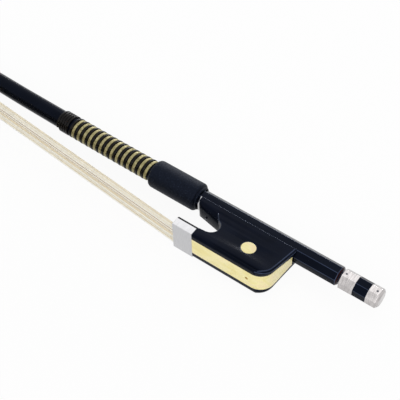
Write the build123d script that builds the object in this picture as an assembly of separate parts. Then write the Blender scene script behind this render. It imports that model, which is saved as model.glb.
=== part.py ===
from build123d import *
import math
import os

# Cello bow lying on its side, in millimetres.
# The drawing is made in bow coordinates: x runs back from the ferrule's front edge to the screw button,
# drop is the distance from the stick's straight axis towards the hair, and across is the distance from
# the middle plane, up out of the frog's upper cheek. Everything is moved to the resting frame at the end.

# Stick: octagonal handle, round shaft, and a camber that starts ahead of the thumb grip.
handle_flats = 9.2
handle_end = 76.6
shaft_radius = 4.85
shaft_tip_radius = 3.1
head_rise = 47.1
taper_power = 1.5
shaft_lengths = 12
straight_tip = 20.0
handle_end_bevel = 0.9
nipple_radius = 3.0
nipple_length = 2.2

# Head, measured along the shaft's end (forward) and towards the hair (down).
head_place = -590.0
head_tilt = 6.0
head_length = 28.5
head_heel = 2.5
head_drop = 18.0
head_foot_half_width = 6.0
head_neck_half_width = 2.9
head_ridge_half_width = 0.9
liner_thickness = 0.8
plate_thickness = 1.2
tip_mortise_start = 7.5
tip_mortise_length = 10.5
tip_mortise_width = 8.0
tip_mortise_depth = 7.0

# Thumb grip and lapping.
grip_back = -1.5
grip_length = 28.9
grip_wall = 2.24
grip_round = 1.9
grip_lip_length = 1.1
grip_lip_wall = 0.89
grip_lip_bevel = 0.3
grip_clearance = 0.03
lapping_gap = 0.06
lapping_inset = 0.3
gold_width = 0.95
black_width = 0.95
strand_sides = 4
gold_turns = 14
lapping_pitch = 3.64
end_turns = 5
end_pitch = 1.5
arcs_per_turn = 2

# Frog.
frog_front = 0.4
hair_face_drop = 25.4
heel_foot = 51.3
heel_lean = 3.0
heel_round = 7.8
heel_edge_bevel = 1.0
frog_top_drop = 2.1
cheek_top_half_width = 5.5
cheek_mid_drop = 13.5
cheek_mid_half_width = 6.9
cheek_foot_height = 2.8
cheek_low_drop = hair_face_drop - cheek_foot_height
cheek_low_half_width = 8.6
foot_half_width = 8.75
foot_round = 1.4
tongue_drop = 9.5
tongue_nose_drop = 7.6
tongue_nose_length = 4.2
tongue_round = 4.8
tongue_fade = 5.0
throat_end = 18.8
lip_height = 6.2
stick_clearance = 0.10
underslide_thickness = 0.45

# Ferrule: a flat-faced ring round the frog's lip.
ferrule_length = 11.1
ferrule_width = 18.1
ferrule_height = 5.9
ferrule_wall = 0.85
ferrule_corner = 2.0
lip_clearance = 0.05

# Pearl slide, its backing and the eyes.
slide_width = 10.5
slide_top_width = 6.0
slide_thickness = 1.0
slide_top_gap = 0.8
slide_top_drop = handle_flats / 2 + slide_top_gap
backing_width = 12.4
backing_taper = 0.6
backing_thickness = 1.3
slide_pin_place = 42.0
slide_pin_radius = 0.75
slide_pin_length = 5.0
eye_radius = 3.58
eye_place = 36.0
eye_drop = 15.1
eye_thickness = 1.1

# Hair and what holds it.
hair_thickness = 0.8
hair_width_frog = 15.8
hair_width_spread = 15.8
hair_width_tip = 7.8
hair_spread_place = -130.0
frog_mortise_start = 17.0
frog_mortise_length = 11.0
frog_mortise_width = 8.0
frog_mortise_depth = 6.8
knot_length = 4.0
knot_radius = 1.9
wedge_clearance = 0.1
wedge_back = 8.4

# Screw, eyelet and button.
screw_radius = 1.4
screw_start = 16.0
bore_clearance = 0.08
eyelet_place = 29.0
eyelet_length = 4.6
eyelet_width = 4.0
eyelet_rise = 2.6
eyelet_shank_radius = 1.6
eyelet_shank_drop = 12.5
frog_travel = 7.7
travel_clearance = 1.2
mortise_width = 4.5
mortise_rise = 3.1
button_gap = 0.9
button_flats = 9.3
collar_length = 7.2
ring_length = 6.6
cap_length = 6.1
cap_chamfer = 1.1
button_core_flats = 7.4
button_recess_clearance = 0.1
button_pin_radius = 0.45
button_pin_depth = 1.3

# Worked out from the sizes above.
grip_front = grip_back - grip_length
lapping_back = grip_front - black_width / 2 - lapping_inset
gold_wound_turns = gold_turns - 0.25
black_wide_turns = gold_turns - 0.5
grip_bore = handle_flats / 2 / math.cos(math.pi / 8) + grip_clearance
camber_run = grip_front - head_place
camber_radius = (camber_run**2 + head_rise**2) / (2 * head_rise)
throat_floor_drop = hair_face_drop - lip_height
frog_mortise_drop = hair_face_drop - frog_mortise_depth
throat_radius = (throat_floor_drop - tongue_drop) / 2
throat_middle = (throat_floor_drop + tongue_drop) / 2
head_foot_drop = head_drop + liner_thickness + plate_thickness
heel_top = heel_foot + heel_lean
button_front = handle_end + button_gap
button_end = button_front + collar_length + ring_length + cap_length
ferrule_inner_face = hair_face_drop - ferrule_wall
hair_top_drop = ferrule_inner_face - hair_thickness - wedge_clearance


def axis_rise(x):
    """Height of the cambered axis above the straight axis of the handle."""
    ahead = max(0.0, grip_front - x)
    return camber_radius - math.sqrt(camber_radius**2 - ahead**2)


def axis_slope(x):
    ahead = max(0.0, grip_front - x)
    return -ahead / math.sqrt(camber_radius**2 - ahead**2)


def shaft_radius_at(x):
    share = max(0.0, grip_front - x) / camber_run
    return shaft_radius - (shaft_radius - shaft_tip_radius) * share**taper_power


def axis_plane(x):
    """A plane square to the shaft, looking forward, with its x direction up."""
    return Plane(origin=(x, axis_rise(x), 0), x_dir=(0, 0, 1), z_dir=(-1, -axis_slope(x), 0))


def block(x_range, drop_range, across_range):
    size = [abs(high - low) for low, high in (x_range, drop_range, across_range)]
    middle = [(low + high) / 2 for low, high in (x_range, drop_range, across_range)]
    return Pos(middle[0], -middle[1], middle[2]) * Box(*size)


def rod(radius, x_start, x_end):
    """A round bar on the straight axis."""
    return Pos(x_start, 0, 0) * (Rot(0, 90, 0) * extrude(Circle(radius), x_end - x_start))


def octagon_bar(flats, x_start, x_end):
    outline = RegularPolygon(flats / 2, 8, major_radius=False, rotation=22.5)
    return Pos(x_start, 0, 0) * (Rot(0, 90, 0) * extrude(outline, x_end - x_start))


def side_outline(lines):
    """A face in the plane of x and drop, from edges drawn with drop as a negative y."""
    return make_face(Wire(lines).edges())


def on_side(x, drop):
    return (x, -drop)


head_plane = Plane(
    origin=(head_place, axis_rise(head_place), 0),
    x_dir=(-math.cos(math.radians(head_tilt)), math.sin(math.radians(head_tilt)), 0),
    z_dir=(0, 0, 1),
)


def head_outline():
    """Side view of the head and its two face plates, forward and down from the end of the shaft."""
    heel_low = (head_heel, head_foot_drop)
    nose = (head_length + 0.5, head_foot_drop)
    return side_outline(
        [
            Line((-17, -1.0), (-5, -3.2)),
            ThreePointArc((-5, -3.2), (5, -3.9), (14, -3.3)),
            ThreePointArc((14, -3.3), (22.6, 5.6), nose),
            Line(nose, heel_low),
            ThreePointArc(heel_low, (0.4, 9.0), (-7, 3.0)),
            Line((-7, 3.0), (-17, 1.0)),
            Line((-17, 1.0), (-17, -1.0)),
        ]
    )


def head_section():
    """Front view of the head: narrow ridge at the crest, waist at the shaft, broad foot."""
    half = [
        (head_ridge_half_width, -5.0),
        (head_neck_half_width, -1.6),
        (head_neck_half_width, 3.0),
        (head_foot_half_width, head_foot_drop),
    ]
    corners = half + [(-across, down) for across, down in reversed(half)]
    return make_face(Polyline(*corners, close=True).edges())


def head_plan():
    """Plan of the head: parallel sides that close to a narrow nose."""
    side = head_foot_half_width
    corners = [(-20, side), (14, side), (head_length + 2, 2.2)]
    corners += [(x, -y) for x, y in reversed(corners)]
    return make_face(Polyline(*corners, close=True).edges())


def head_blank():
    """The head's outer shape, where its side view, front view and plan all agree."""
    side = extrude(head_plane * head_outline(), head_foot_half_width + 1, both=True)
    behind = head_plane.from_local_coords((-20, 0, 0))
    front_plane = Plane(origin=behind, x_dir=(0, 0, -1), z_dir=head_plane.x_dir)
    front = extrude(front_plane * head_section(), 60)
    above = head_plane.from_local_coords((0, -10, 0))
    plan_plane = Plane(origin=above, x_dir=head_plane.x_dir, z_dir=head_plane.y_dir)
    plan = extrude(plan_plane * head_plan(), head_foot_drop + 20)
    return side & front & plan


def head_slab(down_from, down_to):
    """Everything of the head's frame between two depths below the shaft's axis."""
    depth = down_to - down_from
    return head_plane * Pos(5, down_from + depth / 2, 0) * Box(80, depth, 40)


def head_box(forward_range, down_range, width):
    forward = sum(forward_range) / 2
    down = sum(down_range) / 2
    size = (forward_range[1] - forward_range[0], down_range[1] - down_range[0], width)
    return head_plane * Pos(forward, down, 0) * Box(*size)


def tip_mortise():
    ahead = (tip_mortise_start, tip_mortise_start + tip_mortise_length)
    return head_box(ahead, (head_drop - tip_mortise_depth, head_foot_drop + 1), tip_mortise_width)


def handle_mortise():
    """The slot in the handle's underside that the eyelet travels in."""
    start = eyelet_place - eyelet_length / 2 - travel_clearance
    end = eyelet_place + eyelet_length / 2 + frog_travel + travel_clearance
    return block((start, end), (-mortise_rise, handle_flats), (-mortise_width / 2, mortise_width / 2))


def stick():
    bent_run = camber_run - straight_tip
    stations = [grip_front - bent_run * k / shaft_lengths for k in range(shaft_lengths + 1)]
    shaft = loft([axis_plane(x) * Circle(shaft_radius_at(x)) for x in stations], ruled=True)
    shaft += extrude(axis_plane(stations[-1]) * Circle(shaft_radius_at(stations[-1])), straight_tip)
    bar_start = (grip_front + grip_back) / 2
    under_grip = rod(shaft_radius, grip_front, bar_start)
    handle = bevelled_end(octagon_bar(handle_flats, bar_start, handle_end), handle_end_bevel)
    nipple = rod(nipple_radius, handle_end, handle_end + nipple_length)
    head = head_blank() & head_slab(-10, head_drop)
    body = shaft + under_grip + handle + nipple + head
    body -= tip_mortise()
    body -= handle_mortise()
    body -= rod(screw_radius + bore_clearance, screw_start - 1, handle_end + nipple_length + 1)
    return body


def tip_liner():
    return (head_blank() & head_slab(head_drop, head_drop + liner_thickness)) - tip_mortise()


def tip_plate():
    top = head_drop + liner_thickness
    return (head_blank() & head_slab(top, top + plate_thickness)) - tip_mortise()


def tip_inside():
    """Where the hair leaves the mortise, and the plug and knot ahead of it."""
    roof = head_drop - tip_mortise_depth
    hair_front = tip_mortise_start + wedge_clearance + hair_thickness
    return roof, hair_front


def tip_plug():
    roof, hair_front = tip_inside()
    ahead = (hair_front + wedge_clearance, tip_mortise_start + tip_mortise_length - wedge_clearance)
    down = (roof + 2 * knot_radius + 3 * wedge_clearance, head_foot_drop - 0.2)
    return head_box(ahead, down, tip_mortise_width - 2 * wedge_clearance)


def hair_tie_tip():
    roof, hair_front = tip_inside()
    middle = (hair_front + tip_mortise_start + tip_mortise_length) / 2
    place = Pos(middle, roof + knot_radius + wedge_clearance, 0)
    return head_plane * place * Rot(0, 90, 0) * knot(knot_radius, knot_length * 1.6)


def knot(radius, length):
    """The bound end of the hair, a short round bar."""
    return Cylinder(radius, length)


def bevelled_corner(x, radius, bevel, toward):
    """Outline points that take a corner off in two flats. toward is 1 where the body lies at larger x."""
    half = bevel * (1 - math.sqrt(0.5))
    return [(x, radius - bevel), (x + toward * half, radius - half), (x + toward * bevel, radius)]


def grip():
    """Moulded sleeve with rounded ends and a thin collar where it meets the frog."""
    radius = grip_bore + grip_wall
    lip_radius = grip_bore + grip_lip_wall
    lip_front = grip_back - grip_lip_length
    outline = [(grip_front, grip_bore)]
    outline += bevelled_corner(grip_front, radius, grip_round, 1)
    outline += bevelled_corner(lip_front, radius, min(grip_round, grip_wall - grip_lip_wall), -1)[::-1]
    outline += [(grip_back - grip_lip_bevel, lip_radius), (grip_back, lip_radius - grip_lip_bevel)]
    outline += [(grip_back, grip_bore)]
    return revolve(make_face(Polyline(*outline, close=True).edges()), Axis.X)


def biarc(start, start_way, end, end_way):
    """Two arcs that leave one point and reach another along given directions."""
    reach = end - start
    both = start_way + end_way
    a = 2 * (1 - start_way.dot(end_way))
    b = 2 * reach.dot(both)
    c = -reach.dot(reach)
    arm = (-b + math.sqrt(b * b - 4 * a * c)) / (2 * a)
    joint = (start + start_way * arm + end - end_way * arm) * 0.5
    first = Edge.make_tangent_arc(start, start_way, joint)
    return [first, Edge.make_tangent_arc(joint, first % 1, end)]


def strand(turn_at, turns, thickness):
    """A round strand on the shaft, many-sided. turn_at gives the place along x after a number of turns."""
    radius = shaft_radius + lapping_gap + thickness / 2
    count = round(turns * arcs_per_turn)

    def point(k):
        turn = k / arcs_per_turn
        angle = 2 * math.pi * turn
        x = turn_at(turn)
        return Vector(x, axis_rise(x) + radius * math.cos(angle), radius * math.sin(angle))

    def way(k):
        turn = k / arcs_per_turn
        angle = 2 * math.pi * turn
        step = 1e-4
        advance = (turn_at(turn + step) - turn_at(turn - step)) / (2 * step) / (2 * math.pi)
        return Vector(
            advance,
            axis_slope(turn_at(turn)) * advance - radius * math.sin(angle),
            radius * math.cos(angle),
        ).normalized()

    edges = []
    for k in range(count):
        edges += biarc(point(k), way(k), point(k + 1), way(k + 1))
    path = Wire(edges)
    start = Plane(origin=point(0), x_dir=(0, 1, 0), z_dir=way(0))
    return sweep(start * RegularPolygon(thickness / 2, strand_sides), path=path, clean=False), path


def self_gap(path, turns, width):
    """Least distance between one turn and the next, measured on points of the path, less the width."""
    per_turn = 24
    count = round(turns * per_turn)
    points = [path @ (k / count) for k in range(count + 1)]
    nearest = min(
        (points[k + j] - points[k]).length
        for k in range(0, count - per_turn)
        for j in range(per_turn - 3, per_turn + 4)
        if k + j <= count
    )
    return nearest - width


def gold_lapping():
    return strand(lambda turn: lapping_back - lapping_pitch * turn, gold_wound_turns, gold_width)


def black_lapping():
    """Wound beside the gold, then on its own in close turns at the front end."""
    edge = lapping_back - lapping_pitch / 2
    closing_turns = 1.0

    def place(turn):
        past = max(0.0, turn - black_wide_turns)
        closing = min(past, closing_turns)
        closed = past - closing
        lost = (lapping_pitch - end_pitch) * (closing**2 / (2 * closing_turns) + closed)
        return edge - lapping_pitch * turn + lost

    return strand(place, black_wide_turns + end_turns, black_width)


def cheek_section():
    """Half section of the frog, mirrored: hollow cheeks that flare to a broad rounded foot."""
    right = [
        Line((0, -frog_top_drop), (cheek_top_half_width, -frog_top_drop)),
        ThreePointArc(
            (cheek_top_half_width, -frog_top_drop),
            (cheek_mid_half_width, -cheek_mid_drop),
            (cheek_low_half_width, -cheek_low_drop),
        ),
        Line((cheek_low_half_width, -cheek_low_drop), (foot_half_width, -hair_face_drop + foot_round)),
        ThreePointArc(
            (foot_half_width, -hair_face_drop + foot_round),
            (
                foot_half_width - foot_round * (1 - math.sqrt(0.5)),
                -hair_face_drop + foot_round * (1 - math.sqrt(0.5)),
            ),
            (foot_half_width - foot_round, -hair_face_drop),
        ),
        Line((foot_half_width - foot_round, -hair_face_drop), (0, -hair_face_drop)),
        Line((0, -hair_face_drop), (0, -frog_top_drop)),
    ]
    half = make_face(Wire(right).edges())
    return half + mirror(half, Plane.YZ)


def heel_side():
    """Side view of the frog with no throat: a block with a rounded, leaning heel."""
    outline = Polyline(
        on_side(frog_front, frog_top_drop - 1),
        on_side(heel_top, frog_top_drop - 1),
        on_side(heel_foot, hair_face_drop),
        on_side(frog_front, hair_face_drop),
        close=True,
    )
    face = make_face(outline.edges())
    corner = face.vertices().sort_by_distance((heel_foot, -hair_face_drop, 0))[0]
    return fillet(corner, heel_round)


def inner_side(depth):
    """The heel's side view drawn in from the slide and the heel by a depth."""
    lean = heel_lean / (hair_face_drop - frog_top_drop + 1)
    back = depth * math.sqrt(1 + lean**2)
    foot = heel_foot - back + lean * depth
    outline = Polyline(
        on_side(frog_front - 5, frog_top_drop - 5),
        on_side(heel_top - back + 4 * lean, frog_top_drop - 5),
        on_side(foot, hair_face_drop - depth),
        on_side(frog_front - 5, hair_face_drop - depth),
        close=True,
    )
    face = make_face(outline.edges())
    corner = face.vertices().sort_by_distance((foot, depth - hair_face_drop, 0))[0]
    return fillet(corner, heel_round - depth)


def throat():
    """The thumb's opening: a round-ended slot between the tongue and the ferrule's lip."""
    middle = throat_end - throat_radius
    slot = Polyline(
        on_side(frog_front - 3, tongue_nose_drop - 0.2),
        on_side(tongue_nose_length, tongue_nose_drop),
        on_side(middle, tongue_drop),
        close=False,
    )
    lines = list(slot.edges())
    lines.append(
        ThreePointArc(
            on_side(middle, tongue_drop),
            on_side(throat_end, throat_middle),
            on_side(middle, throat_floor_drop),
        )
    )
    low = Polyline(
        on_side(middle, throat_floor_drop),
        on_side(ferrule_length, hair_face_drop - ferrule_height),
        on_side(frog_front - 3, hair_face_drop - ferrule_height),
        on_side(frog_front - 3, tongue_nose_drop - 0.2),
        close=False,
    )
    lines += list(low.edges())
    return extrude(make_face(Wire(lines).edges()), 15, both=True)


def tongue_belly():
    """What is cut away so that the tongue's underside is round from cheek to cheek."""
    half = (cheek_top_half_width + cheek_mid_half_width) / 2
    top = tongue_drop - tongue_round
    bed = Pos(0, -(top - 10), 0) * Rectangle(2 * half, 20 + 2 * tongue_round)
    bed = fillet(bed.vertices().group_by(Axis.Y)[0], tongue_round - 0.05)
    lean = math.atan2(tongue_drop - tongue_nose_drop, throat_end - throat_radius - tongue_nose_length)
    start = Plane(
        origin=on_side(tongue_nose_length - 10, tongue_nose_drop - 10 * math.tan(lean) - tongue_drop) + (0,),
        x_dir=(0, 0, -1),
        z_dir=(math.cos(lean), -math.sin(lean), 0),
    )
    round_bar = extrude(start * bed, 40)
    back = throat_end - throat_radius
    wedge = Polyline(
        on_side(frog_front - 3, top - 3),
        on_side(back - tongue_fade, top - 3),
        on_side(back + tongue_fade / 2, tongue_drop + 1.5),
        on_side(frog_front - 3, tongue_drop + 1.5),
        close=True,
    )
    return extrude(make_face(wedge.edges()), 15, both=True) - round_bar


def nose_cut():
    """Rounds the tongue's front into its underside."""
    lines = [
        Line(on_side(frog_front - 4, tongue_nose_drop), on_side(tongue_nose_length, tongue_nose_drop)),
        ThreePointArc(
            on_side(tongue_nose_length, tongue_nose_drop),
            on_side(frog_front + 0.9, tongue_nose_drop - 1.6),
            on_side(frog_front, tongue_nose_drop - 4.6),
        ),
        Line(on_side(frog_front, tongue_nose_drop - 4.6), on_side(frog_front - 4, tongue_nose_drop - 4.6)),
        Line(on_side(frog_front - 4, tongue_nose_drop - 4.6), on_side(frog_front - 4, tongue_nose_drop)),
    ]
    return extrude(make_face(Wire(lines).edges()), 15, both=True)


def ferrule_tube(grow, x_start, x_end):
    """The ferrule's section drawn in by a distance, as a solid bar."""
    width = ferrule_width - 2 * grow
    height = ferrule_height - 2 * grow
    section = Rectangle(width, height)
    low, high = section.vertices().group_by(Axis.Y)
    section = fillet(high, max(0.3, ferrule_corner - grow))
    corners = section.vertices().group_by(Axis.Y)[0]
    section = fillet(corners, 0.35)
    place = Plane(
        origin=(x_start, -(hair_face_drop - ferrule_height / 2), 0), x_dir=(0, 0, -1), z_dir=(1, 0, 0)
    )
    return extrude(place * section, x_end - x_start)


def frog_blank():
    side = extrude(heel_side(), foot_half_width + 1, both=True)
    place = Plane(origin=(frog_front - 1, 0, 0), x_dir=(0, 0, -1), z_dir=(1, 0, 0))
    return side & extrude(place * cheek_section(), heel_top - frog_front + 3)


def slide_solid(depth, width, top_width):
    """A strip of the frog's skin that runs along the slide, round the heel and up to a narrower top."""
    skin = extrude(heel_side(), width, both=True) - extrude(inner_side(depth), width + 1, both=True)
    plan = Polyline(
        (width / 2, -hair_face_drop - 1),
        (width / 2, heel_round - hair_face_drop),
        (top_width / 2, -slide_top_drop),
        (-top_width / 2, -slide_top_drop),
        (-width / 2, heel_round - hair_face_drop),
        (-width / 2, -hair_face_drop - 1),
        close=True,
    )
    place = Plane(origin=(ferrule_length, 0, 0), x_dir=(0, 0, -1), z_dir=(1, 0, 0))
    return skin & extrude(place * make_face(plan.edges()), heel_top)


def slide_backing_solid():
    """Dovetailed bed under the pearl, held in a groove of the frog's foot."""
    top = hair_face_drop - slide_thickness - backing_thickness
    low_half = backing_width / 2 - backing_taper
    outline = Polyline(
        (-low_half, slide_thickness - hair_face_drop),
        (low_half, slide_thickness - hair_face_drop),
        (backing_width / 2, -top),
        (-backing_width / 2, -top),
        close=True,
    )
    place = Plane(origin=(ferrule_length, 0, 0), x_dir=(0, 0, -1), z_dir=(1, 0, 0))
    return extrude(place * make_face(outline.edges()), heel_foot - heel_round - ferrule_length)


def eye_plug():
    return Pos(eye_place, -eye_drop, 0) * Cylinder(eye_radius, 40)


def eye_core():
    half = cheek_mid_half_width - eye_thickness
    return Pos(eye_place, -eye_drop, 0) * Box(20, 20, 2 * half)


def frog_mortise():
    ahead = (frog_mortise_start, frog_mortise_start + frog_mortise_length)
    half = frog_mortise_width / 2
    return block(ahead, (frog_mortise_drop, hair_face_drop - slide_thickness), (-half, half))


def hair_channel():
    """Room for the hair from the mortise to the ferrule, above the slide's backing."""
    top = hair_face_drop - slide_thickness - backing_thickness - hair_thickness - 2 * wedge_clearance
    half = frog_mortise_width / 2
    return block((frog_front - 1, frog_mortise_start + 1), (top, hair_face_drop), (-half, half))


def lip_floor():
    """Level of the lip's underside inside the ferrule, above the spread hair and its wedge."""
    return hair_top_drop - 1.3


def lip_cut():
    low = block((frog_front - 2, ferrule_length), (lip_floor(), hair_face_drop + 2), (-15, 15))
    ring = block((frog_front - 2, ferrule_length), (throat_middle, hair_face_drop + 2), (-15, 15))
    ring -= ferrule_tube(ferrule_wall + lip_clearance, frog_front - 3, ferrule_length + 1)
    return low + ring


def stick_channel(clearance):
    return octagon_bar(handle_flats + 2 * clearance, frog_front - 3, heel_top + 5)


def underslide():
    """Thin sheet bent round the handle's three lower facets, lining the frog's channel."""
    outer = octagon_bar(
        handle_flats + 2 * (stick_clearance + underslide_thickness), frog_front - 0.7, heel_top - 2.5
    )
    sheet = outer - stick_channel(stick_clearance)
    keep = block((frog_front - 2, heel_top + 2), (frog_top_drop, 10), (-10, 10))
    sheet &= keep
    return sheet - eyelet_shank(0.1)


def eyelet_shank(clearance):
    shank = Cylinder(eyelet_shank_radius + clearance, eyelet_shank_drop)
    return Pos(eyelet_place, -eyelet_shank_drop / 2, 0) * Rot(90, 0, 0) * shank


def eyelet():
    """Brass nut on the screw, with a threaded shank that goes down into the frog."""
    half = eyelet_length / 2
    head = block(
        (eyelet_place - half, eyelet_place + half),
        (-eyelet_rise, eyelet_rise),
        (-eyelet_width / 2, eyelet_width / 2),
    )
    head = fillet(head.edges().filter_by(Axis.Z), 0.8)
    shank = eyelet_shank(0) & block((0, 100), (eyelet_rise - 0.5, 100), (-10, 10))
    return head + shank - rod(screw_radius + bore_clearance, 0, 100)


def underslide_pin(x):
    top = handle_flats / 2 + stick_clearance + 0.1
    pin = Pos(x, -(top + 2.0), 0) * Rot(90, 0, 0) * Cylinder(0.6, 4.0)
    return pin


underslide_pin_places = (7.0, 46.0)


def underslide_pins():
    return [underslide_pin(x) for x in underslide_pin_places]


def frog_body():
    body = bevel_heel(frog_blank())
    body -= throat()
    body -= nose_cut()
    body -= tongue_belly()
    body -= stick_channel(stick_clearance + underslide_thickness)
    body -= lip_cut()
    body -= slide_solid(slide_thickness, slide_width, slide_top_width)
    body -= slide_backing_solid()
    body -= frog_mortise()
    body -= hair_channel()
    body -= eye_plug() - eye_core()
    body -= eyelet_shank(0.02)
    for x in underslide_pin_places:
        body -= underslide_pin(x)
    body -= slide_pin()
    return body


def bevel_heel(body):
    """Breaks the two edges of the heel face between the slide's corner and the stick."""
    edges = [
        edge
        for edge in body.edges()
        if edge.center().X > heel_foot and abs(edge.center().Z) > 4 and edge.length > 8
    ]
    return chamfer(edges, heel_edge_bevel)


def eye(side):
    blank = (frog_blank() & eye_plug()) - eye_core()
    half = Pos(eye_place, -eye_drop, side * 20) * Box(30, 30, 40)
    return blank & half


def slide_pin():
    middle = hair_face_drop - slide_pin_length / 2
    return Pos(slide_pin_place, -middle, 0) * Rot(90, 0, 0) * Cylinder(slide_pin_radius, slide_pin_length)


def ferrule():
    return ferrule_tube(0, 0, ferrule_length) - ferrule_tube(ferrule_wall, -1, ferrule_length + 1)


def ferrule_wedge():
    """Thin wedge that spreads the hair against the ferrule's flat face."""
    top = lip_floor() + wedge_clearance / 2
    front = frog_front + 1.3
    outline = Polyline(
        on_side(front, top),
        on_side(wedge_back, top),
        on_side(wedge_back, max(top + 0.1, spread_top_drop(wedge_back) - wedge_clearance)),
        on_side(front, spread_top_drop(front) - wedge_clearance),
        close=True,
    )
    half = ferrule_width / 2 - ferrule_wall - 0.9
    return extrude(make_face(outline.edges()), half, both=True)


def spread_ends():
    """Middle of the spreading hair inside the ferrule: at the slide's front and at the mouth."""
    low = hair_face_drop - slide_thickness - backing_thickness - wedge_clearance
    narrow = (ferrule_length + 0.2, low - hair_thickness / 2)
    wide = (frog_front + 1.2, ferrule_inner_face - (wedge_clearance + hair_thickness) / 2)
    return narrow, wide


def spread_top_drop(x):
    (x_narrow, drop_narrow), (x_wide, drop_wide) = spread_ends()
    share = (x - x_wide) / (x_narrow - x_wide)
    return drop_wide + (drop_narrow - drop_wide) * share - hair_thickness / 2


def frog_plug():
    """Wooden plug that fills the mortise behind the bound hair."""
    front = frog_mortise_start + hair_thickness + 4 * wedge_clearance + 2 * knot_radius
    back = frog_mortise_start + frog_mortise_length - wedge_clearance
    low = hair_face_drop - slide_thickness - backing_thickness - wedge_clearance
    half = frog_mortise_width / 2 - wedge_clearance
    return block((front, back), (frog_mortise_drop + wedge_clearance, low), (-half, half))


def hair_tie_frog():
    front = frog_mortise_start + hair_thickness + 2 * wedge_clearance
    drop = frog_mortise_drop + wedge_clearance + knot_radius
    return Pos(front + knot_radius + 0.1, -drop, 0) * knot(knot_radius, frog_mortise_width - 1)


def hair_in_frog():
    """Flat tress from the knot, down the mortise's front wall and along to the ferrule's mouth."""
    low = hair_face_drop - slide_thickness - backing_thickness - wedge_clearance
    half = frog_mortise_width / 2 - wedge_clearance
    start = frog_mortise_start + wedge_clearance
    down = block((start, start + hair_thickness), (frog_mortise_drop + wedge_clearance, low), (-half, half))
    along = block((ferrule_length + 0.2, start + hair_thickness), (low - hair_thickness, low), (-half, half))
    places = [on_side(x, drop) for x, drop in spread_ends()]
    narrow, wide = [Plane(origin=(x, y, 0), x_dir=(0, 0, 1), z_dir=(-1, 0, 0)) for x, y in places]
    spread = loft(
        [
            narrow * Rectangle(2 * half, hair_thickness),
            wide * Rectangle(hair_width_frog, hair_thickness),
        ],
        ruled=True,
    )
    return down + along + spread


def hair_ribbon():
    """Flat band of hair from the head's mortise to the ferrule's mouth."""
    frog_end = Vector(frog_front + 0.9, -(ferrule_inner_face - wedge_clearance / 2 - hair_thickness / 2), 0)
    exit_down = head_foot_drop + 3 * wedge_clearance + hair_thickness / 2
    tip_end = head_plane.from_local_coords((tip_mortise_start + wedge_clearance + hair_thickness, exit_down, 0))
    run = (frog_end - tip_end).normalized()

    def section(point, width):
        return Plane(origin=point, x_dir=(0, 0, 1), z_dir=run) * Rectangle(width, hair_thickness)

    share = (hair_spread_place - tip_end.X) / (frog_end.X - tip_end.X)
    spread = tip_end + (frog_end - tip_end) * share
    ribbon = loft([section(tip_end, hair_width_tip), section(spread, hair_width_spread)], ruled=True)
    ribbon += loft([section(spread, hair_width_spread), section(frog_end, hair_width_frog)], ruled=True)
    roof = tip_inside()[0]
    ahead = (tip_mortise_start + wedge_clearance, tip_mortise_start + wedge_clearance + hair_thickness)
    leg = head_box(ahead, (roof + 2.0, head_foot_drop + 0.5), hair_width_tip)
    return ribbon + leg


def bevelled_end(bar, bevel):
    """Takes the edge off the end of a bar that faces the player."""
    return chamfer(bar.faces().sort_by(Axis.X)[-1].edges(), bevel)


def button_pin(x):
    pin = Cylinder(button_pin_radius, button_pin_depth)
    return Pos(x, 0, button_flats / 2 - button_pin_depth / 2) * pin


button_pin_places = (button_front + 1.5, button_end - 2.6)


def button_collar():
    sleeve = octagon_bar(button_flats, button_front, button_front + collar_length)
    sleeve -= octagon_bar(button_core_flats, button_front + 1.4, button_end)
    sleeve -= rod(nipple_radius + button_recess_clearance, button_front - 1, button_front + 1.5)
    return sleeve - button_pin(button_pin_places[0])


def button_core():
    """Dark barrel of the button: full size between the two metal sleeves, thinner inside them."""
    ring_start = button_front + collar_length
    core = octagon_bar(button_core_flats, button_front + 1.4, button_end - 1.2)
    core += octagon_bar(button_flats - 0.1, ring_start, ring_start + ring_length)
    nipple_room = handle_end + nipple_length + 0.3
    core -= rod(nipple_radius + button_recess_clearance, button_front, nipple_room)
    core -= rod(screw_radius, 0, button_end - 3.0)
    return core - button_pin(button_pin_places[0]) - button_pin(button_pin_places[1])


def button_cap():
    sleeve = bevelled_end(octagon_bar(button_flats, button_end - cap_length, button_end), cap_chamfer)
    sleeve -= octagon_bar(button_core_flats, 0, button_end - 1.2)
    return sleeve - button_pin(button_pin_places[1])


def button_pins():
    return [button_pin(x) for x in button_pin_places]


def screw():
    return rod(screw_radius, screw_start, button_end - 3.0)


def resting_place():
    """Moves the bow so that its box stands centred on the floor, origin at the middle of the base."""
    nose = head_plane.from_local_coords((head_length, 0, 0))
    crest = head_plane.from_local_coords((0, -3.9, 0))
    middle_x = (nose.X + button_end) / 2
    middle_y = (crest.Y - hair_face_drop) / 2
    return Pos(-middle_x, -middle_y, ferrule_width / 2)


def write(name, shape):
    solids = shape if isinstance(shape, list) else shape.solids()
    moved = [resting_place() * solid for solid in solids]
    export_step(moved[0] if len(moved) == 1 else Compound(children=moved), f"parts/{name}.step")
    print(name, "solids", len(moved))


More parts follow.
